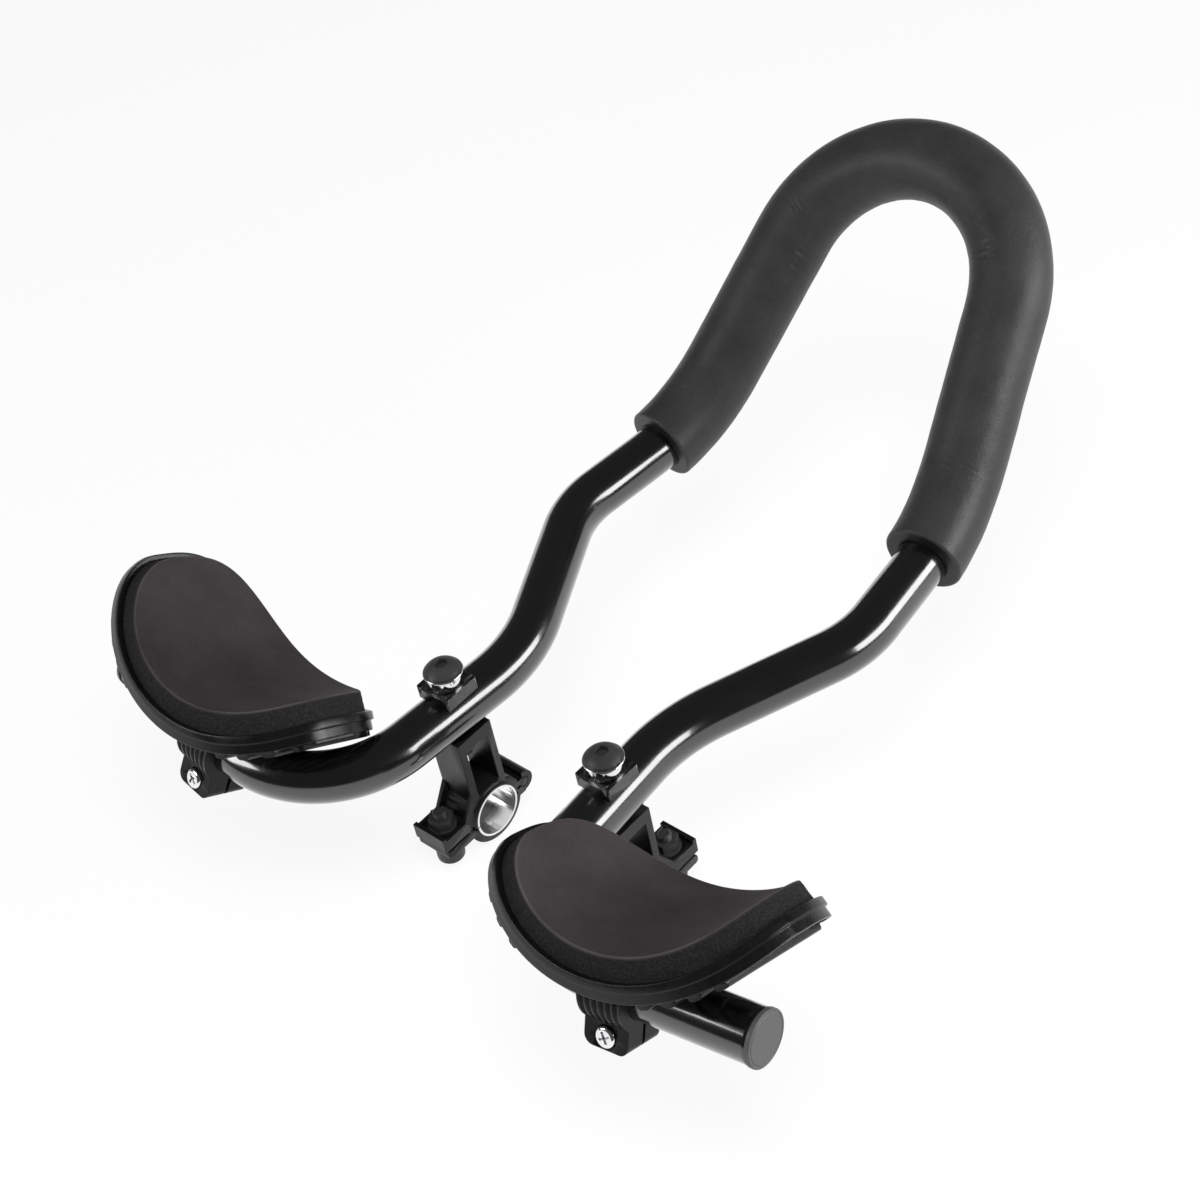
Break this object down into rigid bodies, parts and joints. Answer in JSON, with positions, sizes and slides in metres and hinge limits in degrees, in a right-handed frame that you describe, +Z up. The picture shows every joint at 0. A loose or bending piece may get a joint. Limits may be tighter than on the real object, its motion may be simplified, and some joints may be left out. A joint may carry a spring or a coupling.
{
  "type": "aero handlebar extension",
  "caption": "Bent handlebar extension with a foam grip over its front bend, clamp risers and padded troughs for the forearms.",
  "frame": {"origin": "on the axis of the handlebar, half-way between the two risers' bores", "axes": "+X along the handlebar to the rider's right, +Y forward, +Z up"},
  "size_m": [0.3576, 0.409, 0.1982],
  "materials": {
    "bar_paint": "gloss black",
    "grip_foam": "closed-cell foam with a skin",
    "cap_plastic": "satin grey",
    "riser_casting": "satin dark grey",
    "bright_alloy": "machined",
    "black_bolt": "black oxide",
    "plate_steel": "brushed",
    "chrome": "polished",
    "cradle_plastic": "satin black",
    "pad_foam": "moulded foam"
  },
  "bodies": {
    "frame": {"extension_bar": "bar_paint", "foam_grip": "grip_foam", "right_end_cap": "cap_plastic", "right_riser_bracket": "riser_casting", "right_lower_clamp": "riser_casting", "right_bore_sleeve": "bright_alloy", "right_clamp_bolt": "black_bolt", "right_clamp_washer": "black_bolt", "right_clamp_nut": "black_bolt", "right_saddle_plate": "plate_steel", "right_saddle_washer": "chrome", "right_saddle_bolt": "black_bolt", "right_saddle_nut": "plate_steel", "left_end_cap": "cap_plastic", "left_riser_bracket": "riser_casting", "left_lower_clamp": "riser_casting", "left_bore_sleeve": "bright_alloy", "left_clamp_bolt": "black_bolt", "left_clamp_washer": "black_bolt", "left_clamp_nut": "black_bolt", "left_saddle_plate": "plate_steel", "left_saddle_washer": "chrome", "left_saddle_bolt": "black_bolt", "left_saddle_nut": "plate_steel"},
    "right_arm_rest": {"right_arm_cradle": "cradle_plastic", "right_arm_pad": "pad_foam", "right_rear_jaw": "cradle_plastic", "right_front_jaw": "cradle_plastic", "right_jaw_screw": "chrome", "right_jaw_nut": "plate_steel"},
    "left_arm_rest": {"left_arm_cradle": "cradle_plastic", "left_arm_pad": "pad_foam", "left_rear_jaw": "cradle_plastic", "left_front_jaw": "cradle_plastic", "left_jaw_screw": "chrome", "left_jaw_nut": "plate_steel"}
  },
  "joints": [
    {"name": "right_arm_rest_tilt", "type": "hinge", "parent": "frame", "child": "right_arm_rest", "pos_m": [0.11287, -0.06949, 0.06331], "axis": [0.9896, 0.1171, 0.084], "range_deg": [-4, 20]},
    {"name": "left_arm_rest_tilt", "type": "hinge", "parent": "frame", "child": "left_arm_rest", "pos_m": [-0.11287, -0.06949, 0.06331], "axis": [0.9896, -0.1171, -0.084], "range_deg": [-1, 23]}
  ]
}
